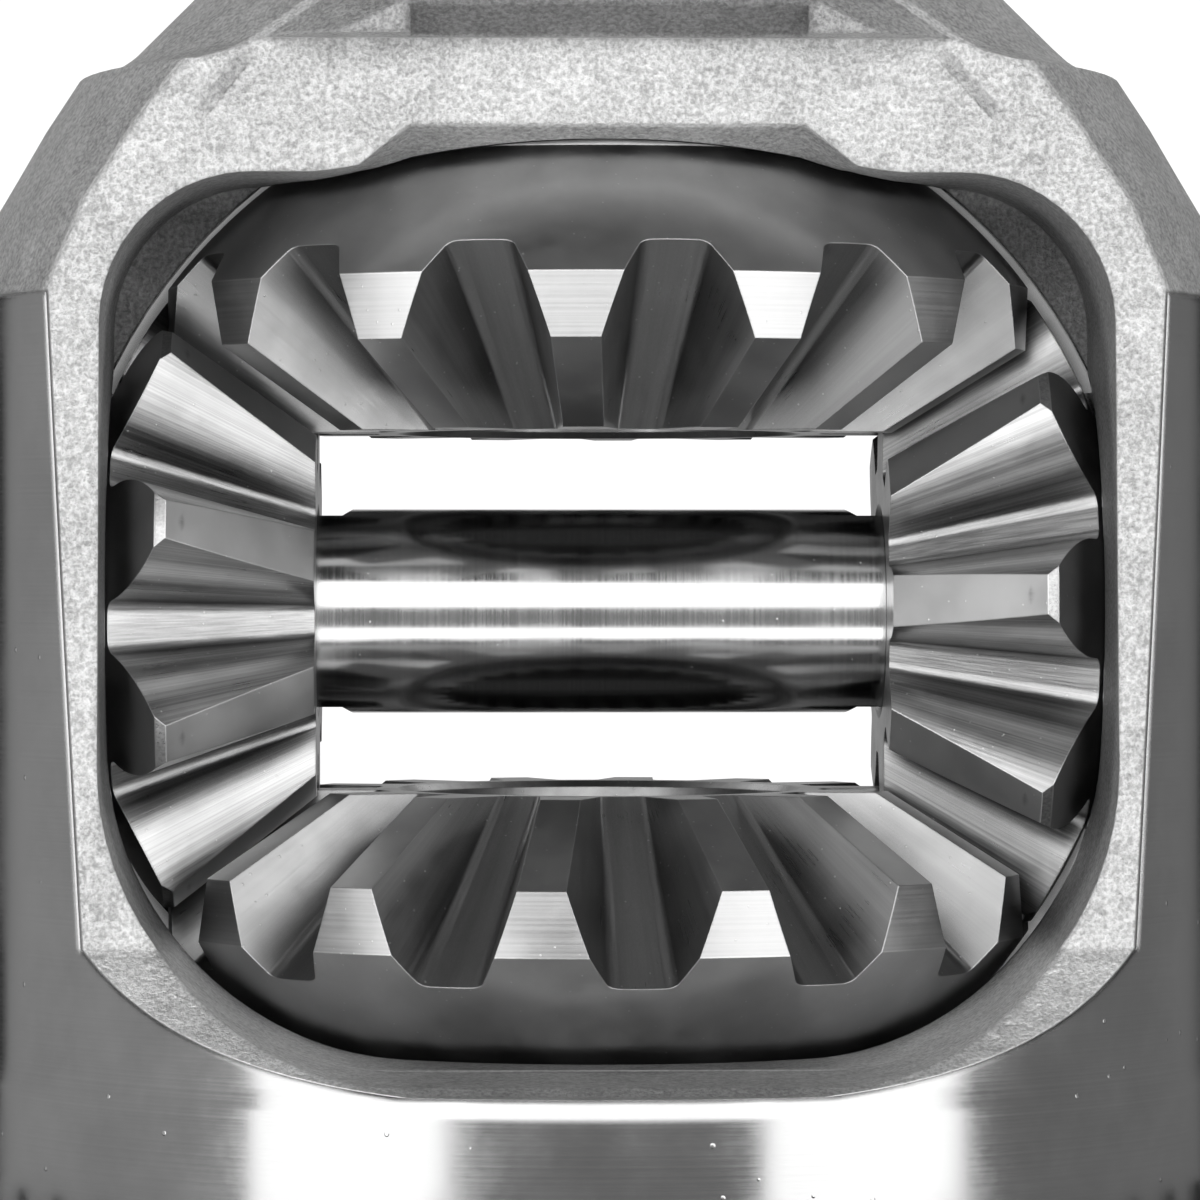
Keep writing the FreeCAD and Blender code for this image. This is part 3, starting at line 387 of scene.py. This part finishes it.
FINISH = {
    "differential_case": case_iron,
    "cross_pin": pin_steel,
    "cross_pin_lock_pin": spring_steel,
    "ring_gear": ring_steel,
    "ring_gear_bolts": bolt_steel,
}
for end in ("upper", "lower"):
    FINISH[f"{end}_side_gear"] = side_steel
    FINISH[f"{end}_side_gear_thrust_washer"] = washer_steel
    FINISH[f"{end}_bearing_shim"] = washer_steel
    FINISH[f"{end}_bearing_cone"] = race_steel
    FINISH[f"{end}_bearing_cup"] = race_steel
    FINISH[f"{end}_bearing_rollers"] = roller_steel
    FINISH[f"{end}_bearing_cage"] = cage_steel
for hand in ("left", "right"):
    FINISH[f"{hand}_pinion_gear"] = pinion_steel
    FINISH[f"{hand}_pinion_thrust_washer"] = washer_steel

for name, material in FINISH.items():
    mesh = frame["nodes"][name].data
    mesh.materials.clear()
    mesh.materials.append(material)


PANEL_DISTANCE = 1.1
# name: azimuth from -Y towards +X, low and high elevation, half width, in degrees, and radiance
PANELS = {
    "left_softbox": (-44.5, -35, 36, 18.5, KEY),
    "right_softbox": (44.5, -35, 36, 18.5, KEY),
    "left_far_wall": (-97, -38, 36, 33, 0.4),
    "right_far_wall": (97, -38, 36, 33, 0.24),
    "camera_wall": (0, -18.5, 4.5, 26, 0.26),
    "left_back_softbox": (-140, 24, 60, 22, 1.1),
    "right_back_softbox": (140, 24, 60, 22, 1.1),
    "upper_softbox": (0, 4.5, 36, 26, KEY),
    "lower_softbox": (0, -34.5, -18.5, 26, KEY),
}


def softbox(name, azimuth, low, high, half_width, radiance):
    """Lit panel that faces the part."""
    middle = math.radians((low + high) / 2)
    angle = math.radians(azimuth)
    level = math.cos(middle)
    outward = Vector((math.sin(angle) * level, -math.cos(angle) * level, math.sin(middle)))
    data = bpy.data.lights.new(name, "AREA")
    data.shape = "RECTANGLE"
    data.size = 2 * PANEL_DISTANCE * math.tan(math.radians(half_width))
    data.size_y = 2 * PANEL_DISTANCE * math.tan(math.radians((high - low) / 2))
    data.energy = radiance * math.pi * data.size * data.size_y
    light = bpy.data.objects.new(name, data)
    light.location = APEX + outward * PANEL_DISTANCE
    light.rotation_euler = outward.to_track_quat("Z", "Y").to_euler()
    bpy.context.scene.collection.objects.link(light)


def world():
    """White backdrop to the camera, a dim room in front and a pale wall behind for reflections."""
    studio = bpy.data.worlds.new("studio")
    bpy.context.scene.world = studio
    studio.use_nodes = True
    tree = studio.node_tree
    tree.nodes.clear()
    output = tree.nodes.new("ShaderNodeOutputWorld")
    mix = tree.nodes.new("ShaderNodeMixShader")
    backdrop = tree.nodes.new("ShaderNodeBackground")
    backdrop.inputs["Color"].default_value = (1, 1, 1, 1)
    backdrop.inputs["Strength"].default_value = 1.1
    room = tree.nodes.new("ShaderNodeBackground")
    direction = tree.nodes.new("ShaderNodeTexCoord")
    parts = tree.nodes.new("ShaderNodeSeparateXYZ")
    back_wall = tree.nodes.new("ShaderNodeMapRange")
    for key, value in {"From Min": 0.86, "From Max": 0.98, "To Min": 0.04, "To Max": 0.7}.items():
        back_wall.inputs[key].default_value = value
    path = tree.nodes.new("ShaderNodeLightPath")
    for source, socket in (
        (direction.outputs["Generated"], parts.inputs[0]),
        (parts.outputs["Y"], back_wall.inputs["Value"]),
        (back_wall.outputs[0], room.inputs["Strength"]),
        (path.outputs["Is Camera Ray"], mix.inputs[0]),
        (room.outputs[0], mix.inputs[1]),
        (backdrop.outputs[0], mix.inputs[2]),
        (mix.outputs[0], output.inputs["Surface"]),
    ):
        tree.links.new(source, socket)


def floor():
    """Plain pale floor under the part, left out of its reflections."""
    bpy.ops.mesh.primitive_circle_add(vertices=96, radius=1.1, fill_type="NGON")
    disc = bpy.context.object
    disc.name = "floor"
    material = bpy.data.materials.new("floor_paint")
    material.use_nodes = True
    shader = material.node_tree.nodes["Principled BSDF"]
    shader.inputs["Base Color"].default_value = (0.8, 0.8, 0.8, 1)
    shader.inputs["Roughness"].default_value = 0.6
    disc.data.materials.append(material)
    disc.visible_glossy = False
    disc.visible_shadow = False


def camera():
    """Long lens, almost level with the middle of the window."""
    data = bpy.data.cameras.new("camera")
    data.angle = math.radians(12.02)
    holder = bpy.data.objects.new("camera", data)
    place = APEX + Vector((-0.0135, -0.5347, 0.00413))
    target = APEX + Vector((0.0001, 0.0, 0.00103))
    holder.location = place
    holder.rotation_euler = (target - place).to_track_quat("-Z", "Y").to_euler()
    bpy.context.scene.collection.objects.link(holder)
    bpy.context.scene.camera = holder


world()
floor()
camera()
for name, panel in PANELS.items():
    softbox(name, *panel)
bpy.context.scene.view_settings.view_transform = "Standard"
